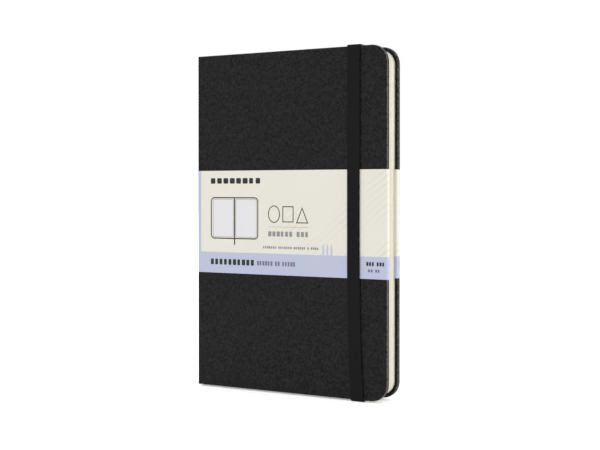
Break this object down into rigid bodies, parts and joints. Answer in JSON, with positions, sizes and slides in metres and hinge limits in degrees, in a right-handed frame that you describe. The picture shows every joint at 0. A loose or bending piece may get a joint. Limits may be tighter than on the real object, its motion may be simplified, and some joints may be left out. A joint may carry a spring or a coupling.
{
  "type": "sketchbook",
  "caption": "Hard-cover sketchbook with round fore-edge corners, an elastic closure, a rear pocket and a paper belly band, standing on its tail edge.",
  "frame": {"origin": "centre of the closed book's footprint, on the surface that its tail edge stands on", "axes": "+Z from tail to head, -Y out of the front cover, +X from the spine to the fore-edge"},
  "size_m": [0.1152, 0.0168, 0.1815],
  "materials": {
    "covering": "matt black leather-look covering with a fine grain",
    "greyboard": "pressed grey bookbinding board",
    "endpaper": "ivory endpaper",
    "pages": "ivory drawing paper with light tooth",
    "gauze": "open-weave binding gauze",
    "thread": "waxed linen thread",
    "ribbon": "satin-woven ribbon",
    "pocket_card": "ivory card",
    "pocket_cloth": "black cotton cloth",
    "elastic": "ribbed woven elastic",
    "band_paper": "uncoated ivory paper with a lilac printed stripe"
  },
  "bodies": {
    "back_cover": {"back_board": "greyboard", "back_cover_skin": "covering", "back_pastedown": "endpaper", "rear_flyleaf": "endpaper", "section_11": "pages", "pocket_panel": "pocket_card", "pocket_gusset_head": "pocket_cloth", "pocket_gusset_tail": "pocket_cloth", "pocket_hinge_cloth": "pocket_cloth", "elastic_anchor_head": "elastic", "elastic_anchor_tail": "elastic", "band_back_panel": "band_paper", "band_back_flap": "band_paper"},
    "spine": {"spine_skin": "covering", "spine_liner": "greyboard", "spine_gauze": "gauze", "band_spine_panel": "band_paper"},
    "front_leaves": {"front_flyleaf": "endpaper", "section_01": "pages"},
    "front_cover": {"front_board": "greyboard", "front_cover_skin": "covering", "front_pastedown": "endpaper", "band_front_panel": "band_paper", "band_front_flap": "band_paper"},
    "leaves_02": {"section_02": "pages"},
    "leaves_03": {"section_03": "pages"},
    "leaves_04": {"section_04": "pages"},
    "leaves_05": {"section_05": "pages"},
    "leaves_06_front": {"section_06_front": "pages"},
    "leaves_10": {"section_10": "pages"},
    "leaves_09": {"section_09": "pages"},
    "leaves_08": {"section_08": "pages"},
    "leaves_07": {"section_07": "pages"},
    "leaves_06_rear": {"section_06_rear": "pages", "sewing_thread": "thread", "ribbon_marker": "ribbon"},
    "elastic_loop": {"elastic_strap": "elastic", "elastic_head_return": "elastic", "elastic_tail_return": "elastic"}
  },
  "joints": [
    {"name": "front_cover_opening", "type": "hinge", "parent": "front_leaves", "child": "front_cover", "pos_m": [-0.0575, -0.0075, 0.00075], "axis": [0, 0, -1], "range_deg": [0, 172]},
    {"name": "middle_opening", "type": "hinge", "parent": "back_cover", "child": "spine", "pos_m": [-0.0575, 0.0075, 0.00075], "axis": [0, 0, -1], "range_deg": [0, 90]},
    {"name": "front_half_turn", "type": "hinge", "parent": "spine", "child": "front_leaves", "pos_m": [-0.0575, -0.0075, 0.00075], "axis": [0, 0, -1], "range_deg": [0, 90]},
    {"name": "leaves_02_slide", "type": "slide", "parent": "front_leaves", "child": "leaves_02", "axis": [-1, 0, 0], "range_m": [0, 0.00173]},
    {"name": "leaves_03_slide", "type": "slide", "parent": "front_leaves", "child": "leaves_03", "axis": [-1, 0, 0], "range_m": [0, 0.00345]},
    {"name": "leaves_04_slide", "type": "slide", "parent": "front_leaves", "child": "leaves_04", "axis": [-1, 0, 0], "range_m": [0, 0.00517]},
    {"name": "leaves_05_slide", "type": "slide", "parent": "front_leaves", "child": "leaves_05", "axis": [-1, 0, 0], "range_m": [0, 0.00689]},
    {"name": "leaves_06_front_slide", "type": "slide", "parent": "front_leaves", "child": "leaves_06_front", "axis": [-1, 0, 0], "range_m": [0, 0.00861]},
    {"name": "leaves_10_slide", "type": "slide", "parent": "back_cover", "child": "leaves_10", "axis": [-1, 0, 0], "range_m": [0, 0.00173]},
    {"name": "leaves_09_slide", "type": "slide", "parent": "back_cover", "child": "leaves_09", "axis": [-1, 0, 0], "range_m": [0, 0.00345]},
    {"name": "leaves_08_slide", "type": "slide", "parent": "back_cover", "child": "leaves_08", "axis": [-1, 0, 0], "range_m": [0, 0.00517]},
    {"name": "leaves_07_slide", "type": "slide", "parent": "back_cover", "child": "leaves_07", "axis": [-1, 0, 0], "range_m": [0, 0.00689]},
    {"name": "leaves_06_rear_slide", "type": "slide", "parent": "back_cover", "child": "leaves_06_rear", "axis": [-1, 0, 0], "range_m": [0, 0.00861]},
    {"name": "elastic_release", "type": "hinge", "parent": "back_cover", "child": "elastic_loop", "pos_m": [0.0387, 0, 0.00075], "axis": [0, 0, 1], "range_deg": [0, 180], "deforming": ["elastic_strap", "elastic_head_return", "elastic_tail_return"]}
  ],
  "couplings": [
    {"joint": "front_half_turn", "follows": "middle_opening", "ratio": 1},
    {"joint": "leaves_02_slide", "follows": "middle_opening", "m_per_rad": 0.001095},
    {"joint": "leaves_03_slide", "follows": "middle_opening", "m_per_rad": 0.00219},
    {"joint": "leaves_04_slide", "follows": "middle_opening", "m_per_rad": 0.003285},
    {"joint": "leaves_05_slide", "follows": "middle_opening", "m_per_rad": 0.0043799},
    {"joint": "leaves_06_front_slide", "follows": "middle_opening", "m_per_rad": 0.0054749},
    {"joint": "leaves_10_slide", "follows": "middle_opening", "m_per_rad": 0.001095},
    {"joint": "leaves_09_slide", "follows": "middle_opening", "m_per_rad": 0.00219},
    {"joint": "leaves_08_slide", "follows": "middle_opening", "m_per_rad": 0.003285},
    {"joint": "leaves_07_slide", "follows": "middle_opening", "m_per_rad": 0.0043799},
    {"joint": "leaves_06_rear_slide", "follows": "middle_opening", "m_per_rad": 0.0054749}
  ]
}
